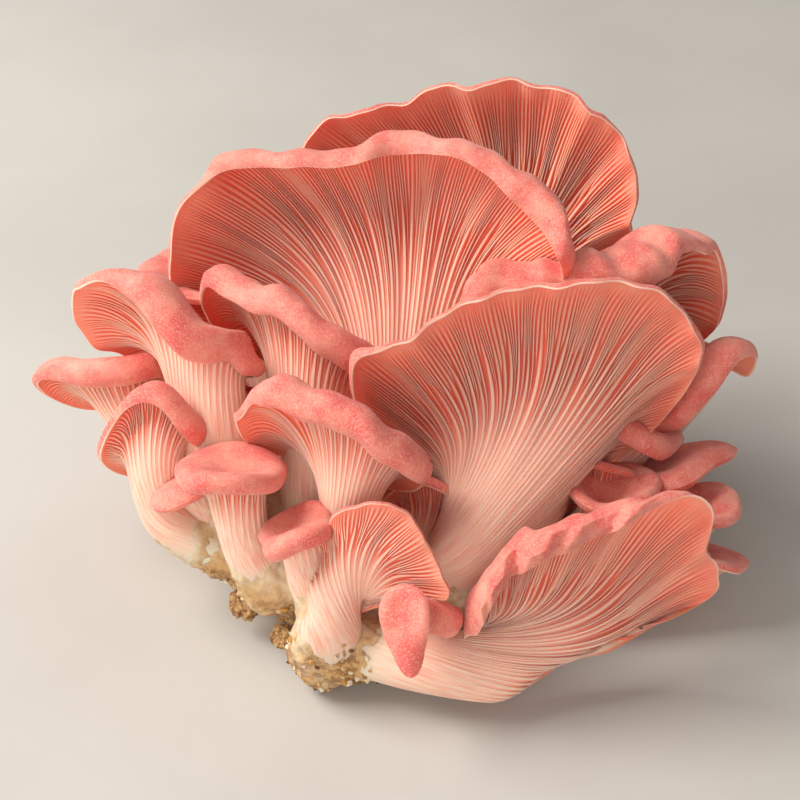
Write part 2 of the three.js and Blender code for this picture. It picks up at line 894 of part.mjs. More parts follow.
// A closed surface as a solid, grown outwards by a small space where one is asked for.
function solidOf(geometry, space = 0) {
  const { position, normal } = geometry.attributes;
  const grown = new Float32Array(position.count * 3);
  for (let i = 0; i < position.count; i += 1) {
    grown[3 * i] = position.getX(i) + space * normal.getX(i);
    grown[3 * i + 1] = position.getY(i) + space * normal.getY(i);
    grown[3 * i + 2] = position.getZ(i) + space * normal.getZ(i);
  }
  const triVerts = new Uint32Array(geometry.index.array);
  return new wasm.Manifold(new wasm.Mesh({ numProp: 3, vertProperties: grown, triVerts }));
}

// What a cut leaves: its largest body, with slivers narrower than a hair merged away.
function tidied(solid) {
  const hair = 0.05;
  const bodies = solid.simplify(hair).decompose();
  return bodies.reduce((best, part) => (part.volume() > best.volume() ? part : best));
}

function geometryOf(solid) {
  const { vertProperties, triVerts } = solid.getMesh();
  const geometry = new THREE.BufferGeometry();
  geometry.setAttribute("position", new THREE.BufferAttribute(vertProperties, 3));
  geometry.setIndex(new THREE.BufferAttribute(triVerts, 1));
  geometry.computeVertexNormals();
  return geometry;
}

// The pieces in the order that they keep their shape: each gives way to the ones before it.
const pieces = [{ name: "mycelium_clump", geometry: clumpSurface(), colour: MYCELIUM_CREAM }];
for (const body of FRUIT_BODIES) {
  pieces.push({ name: body.name, geometry: closedSurface(fruitBodyRings(body)), colour: FLESH_PINK });
}
CRUMBS.forEach((crumb, index) => {
  pieces.push({
    name: `substrate_crumb_${index + 1}`,
    geometry: crumbSurface(crumb, index),
    colour: SUBSTRATE_BROWN,
  });
});

const cluster = new THREE.Group();
cluster.position.set(...RESTING_SHIFT);
const placed = [];
for (const piece of pieces) {
  let solid = solidOf(piece.geometry);
  for (const neighbour of placed) {
    if (solid.intersect(neighbour).volume() > 0) solid = solid.subtract(neighbour);
  }
  solid = tidied(solid);
  placed.push(solidOf(piece.geometry, CLEARANCE).add(solidOf(piece.geometry)));
  const finish = new THREE.MeshStandardMaterial({ color: piece.colour, roughness: 0.7, metalness: 0 });
  const mesh = new THREE.Mesh(geometryOf(solid), finish);
  mesh.name = piece.name;
  cluster.add(mesh);
}

export default cluster;
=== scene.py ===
import json
import math

import bpy
import numpy as np
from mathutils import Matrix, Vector, noise

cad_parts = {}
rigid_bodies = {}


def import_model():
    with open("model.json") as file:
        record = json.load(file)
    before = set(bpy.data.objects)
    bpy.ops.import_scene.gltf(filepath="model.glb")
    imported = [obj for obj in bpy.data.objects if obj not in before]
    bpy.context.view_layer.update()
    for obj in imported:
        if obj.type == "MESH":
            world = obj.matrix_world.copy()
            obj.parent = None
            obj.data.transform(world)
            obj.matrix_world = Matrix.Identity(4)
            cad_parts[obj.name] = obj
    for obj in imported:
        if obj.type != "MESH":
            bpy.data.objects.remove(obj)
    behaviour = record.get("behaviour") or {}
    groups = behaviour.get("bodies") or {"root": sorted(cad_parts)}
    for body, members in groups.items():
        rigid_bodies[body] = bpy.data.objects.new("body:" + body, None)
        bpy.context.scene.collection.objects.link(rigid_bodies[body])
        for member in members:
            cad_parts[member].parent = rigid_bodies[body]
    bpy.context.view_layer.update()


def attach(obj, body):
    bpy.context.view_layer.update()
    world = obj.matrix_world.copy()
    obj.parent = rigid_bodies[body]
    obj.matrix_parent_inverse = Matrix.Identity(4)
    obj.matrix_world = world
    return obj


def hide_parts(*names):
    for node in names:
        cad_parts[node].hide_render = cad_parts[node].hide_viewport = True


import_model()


# ---------------------------------------------------------------------------------------------
# The large fans
# The five widest fruit bodies, each one grown piece: a short stem that flares into a fan, with blade-thin
# gills running from the stem to the margin on one side and a velvety skin on the other. They grow out
# of the clump, and the lowest one hangs just clear of the surface.
# ---------------------------------------------------------------------------------------------
MM = 0.001
# Puts the middle of the footprint at the origin, and the lowest point at z = 0.
RESTING_SHIFT = np.array([1.1, -0.9, 7.0])

# Sizes are millimetres. A stem bends from its foot past its middle to its neck, where the cap spreads. "top"
# is the way the skin faces and "front" the way the cap reaches furthest. "flesh" is the cap's depth over the
# neck, "lip" the radius of the inrolled margin, and "slope" how steeply the cap falls at its front and back.
# A row of "rim" is a place on the margin: its angle round the neck, its reach from the crown, its height
# over the crown, and how far the margin rolls in. A row of "ruffles" is a wave's height, count and phase.
LARGE_FANS = [
    dict(
        name="front_fan",
        foot=(10, -32, 6), middle=(15, -33, 19), neck=(26, -23, 27), foot_radius=10, neck_radius=13,
        top=(0.05, 0.95, -0.25), front=(0.4, 0.25, 0.85), flesh=8, thickness=2, lip=3, slope=(40, 20),
        flare=0.4, belly=(0.55, 0.35), ruffles=((1.1, 7, 0.6), (0.7, 13, 2), (0.45, 29, 1),),
        rim=[
            (-150, 17, 0, 0), (-115, 22, 0, 20), (-86, 41, -6, 70), (-73, 51, -16, 85),
            (-65, 58, -19, 85), (-55, 57, -19, 60), (-49, 55, -17, 35), (-42, 55, -13, 30),
            (-34, 56, -10, 25), (-25, 57, -7, 25), (-15, 59, -3, 20), (-5, 62, -2, 20), (3, 64, 0, 20),
            (10, 66, 2, 15), (18, 65, 4, 15), (26, 63, 6, 10), (31, 58, 7, 5), (36, 51, 8, 5),
            (42, 41, 8, 5), (50, 26, 5, 0), (71, 20, 1, 0), (119, 18, 1, 0), (180, 17, 0, 0),
        ],
    ),
    dict(
        name="upper_fan",
        foot=(-8, -14, 3), middle=(1, 1, 19), neck=(2, 19, 37), foot_radius=8, neck_radius=14,
        top=(0, 0.95, -0.25), front=(-0.1, 0.25, 0.95), flesh=8, thickness=2, lip=3.8, slope=(50, 20),
        belly=(0.5, 0.4), ruffles=((1.8, 8, 1.2), (1, 15, 0.4), (0.4, 31, 2),),
        rim=[
            (-150, 20, 0, 0), (-115, 26, 0, 10), (-90, 40, -2, 10), (-68, 62, -7, 10),
            (-60, 68, -5, 10), (-52, 73, -2, 15), (-45, 77, -4, 40), (-36, 77, -1, 85),
            (-28, 73, 1, 110), (-20, 70, -2, 120), (-12, 66, -2, 115), (-3, 66, -5, 110),
            (6, 66, -4, 110), (15, 69, -8, 120), (25, 68, -12, 135), (35, 66, -20, 155),
            (47, 64, -26, 160), (62, 52, -20, 110), (90, 36, -4, 40), (120, 26, 0, 10), (165, 19, 0, 0),
        ],
    ),
    dict(
        name="back_fan",
        foot=(4, -2, 0), middle=(9, 20, 21), neck=(28, 50, 44), foot_radius=8, neck_radius=13,
        top=(0.1, 0.95, -0.3), front=(0, 0.3, 0.95), flesh=7, thickness=1.8, lip=2, slope=(35, 20),
        ruffles=((1.4, 9, 0.3), (0.8, 17, 1.5), (0.4, 33, 0),),
        rim=[
            (-150, 18, 0, 0), (-110, 24, 0, 0), (-82, 40, 0, 0), (-57, 66, -6, 0), (-46, 68, -5, 0),
            (-36, 64, -5, 0), (-28, 59, -4, 5), (-20, 60, -3, 5), (-9, 59, -3, 5), (0, 59, -3, 5),
            (9, 58, -3, 5), (15, 59, -4, 5), (23, 58, -5, 5), (33, 55, -8, 5), (43, 51, -10, 5),
            (50, 47, -11, 5), (58, 41, -11, 5), (80, 30, -3, 0), (110, 22, 0, 0), (165, 17, 0, 0),
        ],
    ),
    dict(
        name="right_rolled",
        foot=(18, -10, 2), middle=(41, 8, 27), neck=(50, 29, 51), foot_radius=7, neck_radius=11,
        top=(-0.35, 0.6, 0.7), front=(0.95, 0.35, 0), flesh=12, thickness=2, lip=3.5, slope=(60, 60),
        ruffles=((1, 6, 0.9), (0.7, 15, 2.2), (0.35, 27, 0.5),),
        rim=[
            (-156, 41, -4, 100), (-139, 37, -5, 140), (-118, 35, -8, 150), (-101, 34, -10, 150),
            (-88, 35, -13, 130), (-74, 37, -11, 90), (-59, 37, -8, 50), (-46, 37, -10, 20),
            (-36, 37, -13, 5), (-28, 35, -19, 0), (-19, 32, -24, 0), (-7, 28, -28, 0), (7, 28, -28, 0),
            (29, 23, -21, 0), (60, 20, -13, 0), (108, 16, -6, 0), (171, 23, -1, 30),
        ],
    ),
    dict(
        name="low_fan",
        foot=(-13, -47, 5), middle=(5, -58, 8), neck=(23, -58, 6), foot_radius=7, neck_radius=9,
        top=(0.1, 0.82, -0.55), front=(0.8, 0.35, 0.5), flesh=6, thickness=1.8, lip=5, slope=(20, 20),
        flare=0.25, belly=(0.5, 0.4), ruffles=((1.2, 9, 2.4), (0.9, 17, 0.7), (0.4, 31, 1.5),),
        rim=[
            (-173, 8, -1, 0), (-132, 9, -4, 0), (-103, 12, -6, 40), (-85, 16, -7, 120),
            (-70, 22, -10, 190), (-56, 28, -14, 210), (-45, 35, -16, 215), (-32, 42, -17, 215),
            (-21, 49, -16, 215), (-14, 57, -14, 205), (-9, 63, -11, 140), (-4, 66, -11, 50),
            (1, 64, -11, 15), (7, 59, -7, 10), (14, 58, -4, 10), (19, 53, -1, 5), (26, 23, 2, 0),
            (43, 13, 2, 0), (83, 8, 1, 0), (141, 7, 0, 0),
        ],
    ),
]


def unit(vectors):
    """The same directions, one long."""
    return vectors / np.linalg.norm(vectors, axis=-1, keepdims=True)


def ease(values, low, high):
    """0 below low, 1 above high, and smooth between them."""
    t = np.clip((values - low) / (high - low), 0, 1)
    return t * t * (3 - 2 * t)


def around(rows, angles):
    """A smooth closed curve through rows of (angle, value, ...), read at each of the angles in degrees."""
    rows = np.array(rows, float)
    count = len(rows)
    laps = np.vstack([rows[-2:], rows, rows[:3]])
    laps[:2, 0] -= 360
    laps[count + 2:, 0] += 360
    here = (np.asarray(angles, float) - rows[0, 0]) % 360 + rows[0, 0]
    i = np.clip(np.searchsorted(laps[:, 0], here, side="right") - 1, 1, count + 1)
    place, value = laps[:, 0], laps[:, 1:]
    span = (place[i + 1] - place[i])[:, None]
    t = (here - place[i])[:, None] / span
    leaving = (value[i + 1] - value[i - 1]) / (place[i + 1] - place[i - 1])[:, None] * span
    arriving = (value[i + 2] - value[i]) / (place[i + 2] - place[i])[:, None] * span
    return (
        value[i] * (2 * t**3 - 3 * t**2 + 1)
        + leaving * (t**3 - 2 * t**2 + t)
        + value[i + 1] * (3 * t**2 - 2 * t**3)
        + arriving * (t**3 - t**2)
    )


def cubic(a, b, c, d, t):
    """A point on the Bezier curve of four points."""
    return (1 - t)**3 * a + 3 * t * (1 - t)**2 * b + 3 * t * t * (1 - t) * c + t**3 * d


def cap_directions(body):
    """The way the cap's skin faces, the way it reaches furthest, and its side."""
    top = unit(np.array(body["top"], float))
    front = np.array(body["front"], float)
    front = unit(front - front.dot(top) * top)
    return top, front, np.cross(top, front)


def margin_shares(body):
    """The share of the margin before each whole degree, with a little of an even turn mixed in."""
    top, front, side = cap_directions(body)
    degrees = np.arange(361)
    turn = np.radians(degrees)[:, None]
    rim = around(body["rim"], degrees)
    points = rim[:, :1] * (np.cos(turn) * front + np.sin(turn) * side) + rim[:, 1:2] * top
    lengths = np.concatenate([[0], np.cumsum(np.linalg.norm(np.diff(points, axis=0), axis=1))])
    return 0.75 * lengths / lengths[-1] + 0.25 * degrees / 360, lengths[-1]


def fruit_surface(body, share, stage):
    """Points of a fruit body's skin, in millimetres. share is how far round the margin, from 0 to 1. stage is
    0 to 1 up the stem, 1 to 2 along the gills, 2 to 3 into the lip, 3 to 4 back out of it, and 4 to 5
    over the cap to its crown."""
    share, stage = np.broadcast_arrays(share, stage)
    shape = share.shape
    share, stage = share.ravel().astype(float), stage.ravel().astype(float)
    top, front, side = cap_directions(body)
    shares, _ = margin_shares(body)
    angle = np.interp(share % 1, shares, np.arange(361))
    reach, lift, rolled = around(body["rim"], angle).T
    ruffle = np.zeros_like(share)
    for number, (height, waves, phase) in enumerate(body.get("ruffles", ())):
        ruffle += height * np.sin(2 * math.pi * waves * share + phase)
    free = ease(reach, 12, 40)
    reach = (reach + 0.6 * ruffle * free)[:, None]
    lift = (lift + ruffle * free)[:, None]
    roll = np.radians(np.maximum(rolled + 8 * ruffle * free, 0))[:, None]
    turn = np.radians(angle)[:, None]
    out = np.cos(turn) * front + np.sin(turn) * side

    foot, middle, neck = (np.array(body[k], float) for k in ("foot", "middle", "neck"))
    up = np.clip(stage, 0, 1)[:, None]
    bend = lambda t: (1 - t)**2 * foot + 2 * t * (1 - t) * middle + t * t * neck
    heading = lambda t: unit((1 - t) * (middle - foot) + t * (neck - middle))
    column = 0.6 * turn + 0.4 * 2 * math.pi * (share % 1)[:, None]

    def ring(t):
        along = unit(heading(t) * (1 - 0.6 * t * t) + top * 0.6 * t * t)
        ahead = unit(front - (along @ front)[:, None] * along)
        across = np.cross(along, ahead)
        radius = body["foot_radius"] + (body["neck_radius"] - body["foot_radius"]) * t**1.5
        return bend(t) + radius * (np.cos(column) * ahead + np.sin(column) * across)

    front_slope, back_slope = body["slope"]
    slope = np.radians((front_slope + back_slope) / 2 + (front_slope - back_slope) / 2 * np.cos(turn))
    fall = np.cos(slope) * out - np.sin(slope) * top
    inward = -np.sin(slope) * out - np.cos(slope) * top
    crown = neck + top * body["flesh"]
    lip, thickness = body["lip"], body["thickness"]
    lip_reach = (lip + thickness) * np.sin(np.minimum(roll, math.pi / 2))
    shoulder = crown + reach * out + lift * top - fall * lip_reach

    ones = np.ones_like(up)
    stem_top = ring(ones)
    stem_way = heading(1.0)
    span = np.linalg.norm(shoulder - stem_top, axis=1, keepdims=True)
    across = (shoulder - stem_top) / span
    onward = 0.5 + 0.5 * (across @ stem_way)[:, None]
    flare = 1 - (1 - body.get("flare", 0.3)) * onward
    leaving = unit(across * flare + stem_way * (1 - flare))
    belly = body.get("belly", (0.45, 0.4))
    t = np.clip(stage - 1, 0, 1)[:, None]
    swelling = stem_top + leaving * span * belly[0] * onward
    gills = cubic(stem_top, swelling, shoulder - fall * span * belly[1], shoulder, t)

    centre = shoulder + inward * lip
    rolling = np.clip(np.minimum(stage - 2, 4 - stage), 0, 1)[:, None]
    radius = np.where((stage > 3)[:, None], lip + thickness * (1 - 0.75 * rolling), lip)
    lip_points = centre + radius * (np.sin(roll * rolling) * fall - np.cos(roll * rolling) * inward)

    edge = shoulder - inward * thickness
    cap_span = np.linalg.norm(edge - crown, axis=1, keepdims=True)
    t = np.clip(stage - 4, 0, 1)[:, None]
    cap = cubic(edge, edge - fall * cap_span * 0.4, crown + out * cap_span * 0.35, crown, t)

    stage = stage[:, None]
    beyond_gills = np.where(stage <= 4, lip_points, cap)
    points = np.where(stage <= 1, ring(up), np.where(stage <= 2, gills, beyond_gills))
    return points.reshape(*shape, 3)


# How deep the gaps between the gills are along the stem, the gills and the margin, as (stage, share).
GILL_DEPTH = [
    (0, 0), (0.3, 0.02), (0.7, 0.08), (1.0, 0.2), (1.2, 0.5), (1.45, 1.0), (1.7, 0.8), (1.88, 0.35),
    (1.96, 0.08), (2.1, 0),
]


def fruit_body(body, spacing, depth, rows):
    """One fruit body as a closed mesh. spacing is the width of a gill and its gap at the margin and depth the
    deepest gap between gills, in millimetres; rows is how many rings of points each stage has."""
    _, margin = margin_shares(body)
    velvet_all_over = body.get("velvet_all_over", False)
    if velvet_all_over:
        depth = 0
    slots = 4 * round(margin / spacing / 4)
    seed = sum(map(ord, body["name"]))
    chance = np.random.RandomState(seed)
    stem_rows, gill_rows, lip_rows, cap_rows = rows
    stages = np.concatenate([
        np.linspace(0, 1, stem_rows, endpoint=False),
        np.linspace(1, 2, gill_rows, endpoint=False),
        np.linspace(2, 3, lip_rows, endpoint=False),
        [3.0],
        np.linspace(3.001, 4, lip_rows + 1),
    ])[:, None]

    # A gill has four columns of points: the two sides of its edge, and the two corners of the gap after it.
    # Every fourth gill runs all the way; towards the stem it takes the width that the others leave.
    slot = np.arange(slots)
    at_margin = (slot[:, None] + np.array([-0.17, 0.17, 0.33, 0.67])).ravel()
    one_set = np.concatenate([[-0.75, 0.75], np.linspace(1.15, 2.85, 14)])
    at_stem = (np.arange(0, slots, 4)[:, None] + one_set).ravel()
    spread = 1 - ease(stages, 1.1, 1.75)
    place = at_margin * (1 - spread) + at_stem * spread
    wander = 0.35 * np.sin(2 * math.pi * place / slots * round(slots / 7) + 4 * stages + seed)
    wander += 0.5 * np.sin(2 * math.pi * place / slots * round(slots / 19) - 5 * stages)
    place = place + wander * (1 - ease(stages, 2.0, 3.0)) * ease(stages, 0.2, 1.2)
    envelope = fruit_surface(body, place / slots, stages)

    # The gills leave the stem in one sweep, so the corner at its top is eased out.
    easing = 0.5 * np.exp(-(((stages - 1.05) / 0.3) ** 2))[1:-1, :, None]
    for _ in range(3 * gill_rows):
        envelope[1:-1] += easing * (0.5 * (envelope[:-2] + envelope[2:]) - envelope[1:-1])

    round_it = np.roll(envelope, -1, axis=1) - np.roll(envelope, 1, axis=1)
    along_it = np.gradient(envelope, axis=0)
    outward = unit(np.cross(round_it, along_it) + 1e-12)

    starts = np.array([0.0, 1.45, 1.2, 1.45])[slot % 4] + chance.uniform(-0.12, 0.12, slots)
    lengths = np.where(slot % 4 == 0, 0.35, 0.16)
    standing = ease(stages, starts + 0.0, starts + lengths)
    standing = standing * (1 - 0.22 * chance.uniform(0, 1, slots) * (1 - ease(stages, 1.7, 1.9)))
    ridge = np.zeros((len(stages), slots, 4))
    ridge[:, :, :2] = standing[:, :, None]
    ridge = ridge.reshape(len(stages), -1)
    profile = np.interp(stages, *zip(*GILL_DEPTH))
    envelope -= outward * (depth * profile * (1 - ridge))[:, :, None]
    ridge = ridge * ease(profile, 0, 0.15) + (1 - ease(profile, 0, 0.15))

    cap_stages = np.linspace(4, 5, cap_rows + 2)[1:-1, None]
    cap_place = slot + 0.25
    cap = fruit_surface(body, cap_place / slots, cap_stages)

    columns = 4 * slots
    under_count = len(stages) * columns
    points = np.vstack([envelope.reshape(-1, 3), cap.reshape(-1, 3), body["foot"], cap[-1].mean(0)])
    ring = np.arange(columns)
    after = (ring + 1) % columns
    faces = []
    for row in range(len(stages) - 1):
        low, high = row * columns, (row + 1) * columns
        faces.append(np.stack([low + ring, low + after, high + after, high + ring], axis=1))
    one, next_one = np.arange(slots), (np.arange(slots) + 1) % slots
    for row in range(cap_rows - 1):
        low, high = under_count + row * slots, under_count + (row + 1) * slots
        faces.append(np.stack([low + one, low + next_one, high + next_one, high + one], axis=1))
    faces = np.vstack(faces).tolist()
    last = under_count - columns
    for k in range(slots):
        inner = [last + (4 * k + j) % columns for j in range(5)]
        faces.append(inner + [under_count + (k + 1) % slots, under_count + k])
    foot, crown = len(points) - 2, len(points) - 1
    crown_ring = under_count + (cap_rows - 1) * slots
    faces += [[foot, (j + 1) % columns, j] for j in range(columns)]
    faces += [[crown, crown_ring + k, crown_ring + (k + 1) % slots] for k in range(slots)]

    mesh = bpy.data.meshes.new(body["name"])
    mesh.from_pydata(((points + RESTING_SHIFT) * MM).tolist(), [], faces)
    along = np.broadcast_to(stages, envelope.shape[:2])
    if velvet_all_over:
        along = np.full(envelope.shape[:2], 4.5)
    values = {
        "ridge": np.concatenate([ridge.ravel(), np.ones(cap_rows * slots + 2)]),
        "stage": np.concatenate([along.ravel(), np.repeat(cap_stages.ravel(), slots), [0, 5]]),
        "strand": np.concatenate([
            np.broadcast_to(place, along.shape).ravel(), np.tile(cap_place, cap_rows), [0, 0],
        ]),
    }
    for name, numbers in values.items():
        attribute = mesh.attributes.new(name, "FLOAT", "POINT")
        attribute.data.foreach_set("value", numbers.astype(np.float32))
    piece = bpy.data.objects.new(body["name"] + "_grown", mesh)
    bpy.context.scene.collection.objects.link(piece)
    bpy.ops.object.select_all(action="DESELECT")
    piece.select_set(True)
    bpy.context.view_layer.objects.active = piece
    bpy.ops.object.shade_smooth_by_angle(angle=math.radians(50))
    return piece


class Socket:
    """A shader socket that Python's own operators work on."""

    def __init__(self, tree, socket):
        self.tree, self.socket = tree, socket

    def math(self, operation, *others):
        node = self.tree.nodes.new("ShaderNodeMath")
        node.operation = operation
        for port, value in zip(node.inputs, (self, *others)):
            join(self.tree, port, value)
        return Socket(self.tree, node.outputs[0])

    def __add__(self, other):
        return self.math("ADD", other)

    def __radd__(self, other):
        return self.math("ADD", other)

    def __sub__(self, other):
        return self.math("SUBTRACT", other)

    def __rsub__(self, other):
        return Socket.math(constant(self.tree, other), "SUBTRACT", self)

    def __mul__(self, other):
        return self.math("MULTIPLY", other)

    def __rmul__(self, other):
        return self.math("MULTIPLY", other)

    def between(self, low, high):
        """0 below low, 1 above high, and smooth between them."""
        return shader_node(
            self.tree, "ShaderNodeMapRange", {"interpolation_type": "SMOOTHSTEP"},
            {"Value": self, "From Min": low, "From Max": high},
        )


def constant(tree, value):
    node = tree.nodes.new("ShaderNodeValue")
    node.outputs[0].default_value = value
    return Socket(tree, node.outputs[0])


def join(tree, port, value):
    """Links a socket to a port, or writes a plain value on it."""
    if isinstance(value, Socket):
        tree.links.new(value.socket, port)
    elif isinstance(value, str):
        port.default_value = (*tint(value), 1)
    else:
        port.default_value = value


def shader_node(tree, kind, settings, values, output=0):
    """A node of a kind, with its settings, and values or links on its sockets."""
    node = tree.nodes.new(kind)
    for name, value in settings.items():
        setattr(node, name, value)
    for name, value in values.items():
        join(tree, node.inputs[name], value)
    return Socket(tree, node.outputs[output])


def tint(code):
    """The linear colour of a six-digit screen colour."""
    parts = [int(code[i:i + 2], 16) / 255 for i in (0, 2, 4)]
    return [p / 12.92 if p <= 0.04045 else ((p + 0.055) / 1.055) ** 2.4 for p in parts]


def blend(tree, factor, first, second):
    """One colour over another."""
    node = tree.nodes.new("ShaderNodeMix")
    node.data_type = "RGBA"
    join(tree, node.inputs[0], factor)
    join(tree, node.inputs[6], first)
    join(tree, node.inputs[7], second)
    return Socket(tree, node.outputs[2])


def new_material(name):
    material = bpy.data.materials.new(name)
    material.use_nodes = True
    tree = material.node_tree
    return material, tree, tree.nodes["Principled BSDF"]


def noise_on(tree, where, scale, detail=2.0, roughness=0.5, stretch=None):
    """Noise from 0 to 1 on a vector, finer along one way where it is stretched."""
    if stretch:
        where = shader_node(tree, "ShaderNodeVectorMath", {"operation": "MULTIPLY"}, {0: where, 1: stretch})
    values = {"Vector": where, "Scale": scale, "Detail": detail, "Roughness": roughness}
    return shader_node(tree, "ShaderNodeTexNoise", {}, values)


def mushroom_flesh():
    """Pale gill edges over gaps painted a deeper coral as shade between the gills, a mottled velvet skin, and
    a stem that pales to cream.
    """
    material, tree, shader = new_material("mushroom_flesh")
    read = lambda name: shader_node(tree, "ShaderNodeAttribute", {"attribute_name": name}, {}, output=2)
    ridge, stage, strand = read("ridge"), read("stage"), read("strand")
    where = shader_node(tree, "ShaderNodeTexCoord", {}, {}, output=3)
    lengthwise = shader_node(tree, "ShaderNodeCombineXYZ", {}, {"X": strand, "Y": stage * 2.2, "Z": 0.0})

    broad = noise_on(tree, where, 45, 3)
    patches = noise_on(tree, where, 160, 4, 0.6)
    fibres = noise_on(tree, lengthwise, 0.9, 3, 0.6, (1.0, 1.6, 1.0))
    felt = noise_on(tree, where, 2000, 4, 0.65)

    toward_margin = stage.between(1.15, 1.95)
    edge = blend(tree, toward_margin, "F5CAB4", "F2A28A")
    # Painted shade: from the stem outwards the gaps between the gills darken to a deep coral, most where the
    # gills stand deepest.
    gap = blend(tree, stage.between(1.0, 1.5), "F8C4AE", "E8755A")
    # The gill edges keep their own pale colour, and the low ground between them takes the painted shade of
    # the gaps.
    gills = blend(tree, ridge.between(0.1, 0.95), gap, edge)
    margin = blend(tree, broad.between(0.35, 0.65), "F07F66", "F39C80")
    gills = blend(tree, stage.between(1.86, 2.0) * 0.85, gills, margin)
    gills = blend(tree, stage.between(2.75, 3.0), gills, "FBC4AE")

    stem = blend(tree, fibres.between(0.35, 0.7), "F2CFB8", "EBA48C")
    stem = blend(tree, stage.between(0.1, 0.5), "EADAC0", stem)
    under = blend(tree, stage.between(0.8, 1.2), stem, gills)
    under = blend(tree, fibres.between(0.6, 0.8) * 0.3, under, "E5775C")

    skin = blend(tree, patches.between(0.35, 0.65), "EF8C7A", "E0625A")
    skin = blend(tree, felt.between(0.45, 0.7) * 0.55, skin, "FBC6B0")
    skin = blend(tree, broad.between(0.5, 0.75) * 0.5, skin, "F8B09C")
    colour = blend(tree, stage.between(3.0, 3.01), under, skin)
    join(tree, shader.inputs["Base Color"], colour)
    join(tree, shader.inputs["Roughness"], 0.5 + 0.2 * felt)

    over = stage.between(3.0, 3.1)
    relief = felt * over + fibres * (1 - over) * 0.35
    bump = shader_node(tree, "ShaderNodeBump", {}, {"Height": relief, "Strength": 0.5, "Distance": 0.0004})
    join(tree, shader.inputs["Normal"], bump)
    shader.inputs["Subsurface Weight"].default_value = 0.5
    shader.inputs["Subsurface Radius"].default_value = (1.0, 0.35, 0.2)
    shader.inputs["Subsurface Scale"].default_value = 0.004
    shader.inputs["Specular IOR Level"].default_value = 0.35
    shader.inputs["Sheen Weight"].default_value = 0.15
    shader.inputs["Sheen Roughness"].default_value = 0.5
    return material


flesh = mushroom_flesh()


def grow(bodies, spacing, depth, rows):
    """Makes each fruit body of a group and puts it in the place of its plain solid."""
    for body in bodies:
        piece = fruit_body(body, spacing, depth, rows)
        piece.data.materials.append(flesh)
        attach(piece, "root")
        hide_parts(body["name"])


grow(LARGE_FANS, spacing=0.95, depth=1.25, rows=(14, 36, 5, 16))


